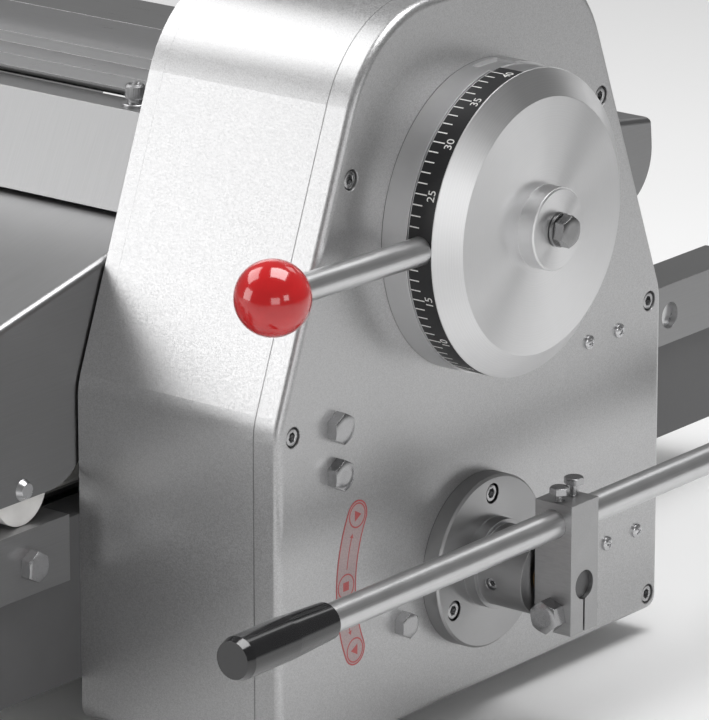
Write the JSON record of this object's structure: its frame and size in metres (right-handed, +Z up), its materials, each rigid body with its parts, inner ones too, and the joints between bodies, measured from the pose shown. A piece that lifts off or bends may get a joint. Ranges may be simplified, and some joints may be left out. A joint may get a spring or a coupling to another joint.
{
  "type": "reversible dough sheeter",
  "caption": "Table-top reversible dough sheeter: rollers set by a graduated dial with a ball handle, a long reversing lever, belt tables and hinged guards.",
  "frame": {"origin": "centre of the bounding box, on the surface that the feet stand on", "axes": "+X right along the belts, +Y from the front plate to the back, +Z up"},
  "size_m": [1.12, 0.95, 0.509],
  "materials": {
    "silver_paint": "metallic silver paint, satin",
    "plain_paint": "grey paint, satin",
    "stainless": "brushed sheet",
    "machined_steel": "turned and ground",
    "bright_steel": "hard chromed",
    "zinc": "zinc plated",
    "turned_aluminium": "turned, satin",
    "black_print": "black band with white marks",
    "black_grip": "glossy black",
    "red_knob": "glossy red",
    "bronze": "plain bearing bronze",
    "nylon": "white nylon",
    "belt_cloth": "woven belt with a smooth coat",
    "chain_steel": "oiled chain",
    "foot_rubber": "black rubber",
    "switch_plastic": "black housing"
  },
  "bodies": {
    "frame": {"base_beams": "silver_paint", "cap_screws": "zinc", "carriage_guides": "machined_steel", "chain_shoes": "nylon", "conveyor_belts": "belt_cloth", "conveyor_chains": "chain_steel", "cover_shells": "silver_paint", "cross_bars": "plain_paint", "dial_ring": "turned_aluminium", "direction_switches": "switch_plastic", "drive_chain": "chain_steel", "drive_motor": "plain_paint", "fixed_bearings": "zinc", "frame_plates": "silver_paint", "front_side_plate": "silver_paint", "guard_pins": "machined_steel", "hex_bolts": "zinc", "lever_flange": "machined_steel", "lower_scrapers": "stainless", "pan_screws": "zinc", "rear_side_plate": "silver_paint", "roller_covers": "stainless", "rubber_feet": "foot_rubber", "shaft_bushes": "bronze", "slider_beds": "stainless", "table_rails": "stainless", "thumb_screws": "zinc", "top_bridge": "stainless"},
    "dial": {"dial_wheel": "turned_aluminium", "dial_scale_band": "black_print", "dial_bolt": "zinc", "handle_rod": "bright_steel", "ball_knob": "red_knob", "dial_shaft": "machined_steel", "gap_pinions": "machined_steel"},
    "carriage": {"bearing_carriages": "machined_steel", "gap_racks": "machined_steel", "upper_bearings": "zinc", "upper_scraper": "machined_steel"},
    "upper_roller": {"upper_roller": "bright_steel", "upper_sprocket": "machined_steel"},
    "lower_roller": {"lower_roller": "bright_steel", "lower_sprockets": "machined_steel"},
    "lever": {"lever_shaft": "machined_steel", "clamp_block": "machined_steel", "clamp_bolts": "zinc", "lever_rod": "bright_steel", "lever_grips": "black_grip", "shift_cam": "machined_steel"},
    "left_guard": {"left_guard": "stainless", "left_guard_screws": "zinc"},
    "right_guard": {"right_guard": "stainless", "right_guard_screws": "zinc"},
    "left_wheels": {"left_guard_wheels": "nylon"},
    "right_wheels": {"right_guard_wheels": "nylon"},
    "left_drive_drum": {"left_drive_drum": "turned_aluminium"},
    "left_tail_drum": {"left_tail_drum": "turned_aluminium"},
    "right_drive_drum": {"right_drive_drum": "turned_aluminium"},
    "right_tail_drum": {"right_tail_drum": "turned_aluminium"},
    "motor_sprocket": {"motor_sprocket": "machined_steel"}
  },
  "joints": [
    {"name": "gap_slide", "type": "slide", "parent": "frame", "child": "carriage", "axis": [0, 0, 1], "range_m": [-0.039, 0], "deforming": ["drive_chain"]},
    {"name": "dial_turn", "type": "hinge", "parent": "frame", "child": "dial", "pos_m": [0, 0.045, 0.353], "axis": [0, 1, 0], "range_deg": [0, 156]},
    {"name": "lower_roller_spin", "type": "hinge", "parent": "frame", "child": "lower_roller", "pos_m": [0, 0.045, 0.13], "axis": [0, 1, 0], "continuous": true},
    {"name": "upper_roller_spin", "type": "hinge", "parent": "carriage", "child": "upper_roller", "pos_m": [0, 0.045, 0.258], "axis": [0, 1, 0], "continuous": true},
    {"name": "left_drive_drum_spin", "type": "hinge", "parent": "frame", "child": "left_drive_drum", "pos_m": [-0.1, 0.045, 0.1437], "axis": [0, 1, 0], "continuous": true},
    {"name": "left_tail_drum_spin", "type": "hinge", "parent": "frame", "child": "left_tail_drum", "pos_m": [-0.457, 0.045, 0.1437], "axis": [0, 1, 0], "continuous": true},
    {"name": "right_drive_drum_spin", "type": "hinge", "parent": "frame", "child": "right_drive_drum", "pos_m": [0.1, 0.045, 0.1437], "axis": [0, 1, 0], "continuous": true},
    {"name": "right_tail_drum_spin", "type": "hinge", "parent": "frame", "child": "right_tail_drum", "pos_m": [0.457, 0.045, 0.1437], "axis": [0, 1, 0], "continuous": true},
    {"name": "motor_spin", "type": "hinge", "parent": "frame", "child": "motor_sprocket", "pos_m": [-0.12, 0.045, 0.094], "axis": [0, 1, 0], "continuous": true},
    {"name": "lever_shift", "type": "hinge", "parent": "frame", "child": "lever", "pos_m": [0, 0.045, 0.1115], "axis": [0, 1, 0], "range_deg": [-20, 20]},
    {"name": "left_guard_hinge", "type": "hinge", "parent": "frame", "child": "left_guard", "pos_m": [-0.133, 0.045, 0.329], "axis": [0, 1, 0], "range_deg": [0, 52]},
    {"name": "right_guard_hinge", "type": "hinge", "parent": "frame", "child": "right_guard", "pos_m": [0.133, 0.045, 0.329], "axis": [0, -1, 0], "range_deg": [-5, 47]},
    {"name": "left_wheel_spin", "type": "hinge", "parent": "left_guard", "child": "left_wheels", "pos_m": [-0.266, 0.045, 0.1933], "axis": [0, 1, 0], "continuous": true},
    {"name": "right_wheel_spin", "type": "hinge", "parent": "right_guard", "child": "right_wheels", "pos_m": [0.27732, 0.045, 0.20541], "axis": [0, 1, 0], "continuous": true}
  ],
  "couplings": [
    {"joint": "dial_turn", "follows": "gap_slide", "rad_per_m": -69.813},
    {"joint": "upper_roller_spin", "follows": "lower_roller_spin", "ratio": -1},
    {"joint": "motor_spin", "follows": "lower_roller_spin", "ratio": 1},
    {"joint": "left_drive_drum_spin", "follows": "lower_roller_spin", "ratio": 1.6875},
    {"joint": "left_tail_drum_spin", "follows": "lower_roller_spin", "ratio": 1.6875},
    {"joint": "right_drive_drum_spin", "follows": "lower_roller_spin", "ratio": 1.6875},
    {"joint": "right_tail_drum_spin", "follows": "lower_roller_spin", "ratio": 1.6875}
  ]
}
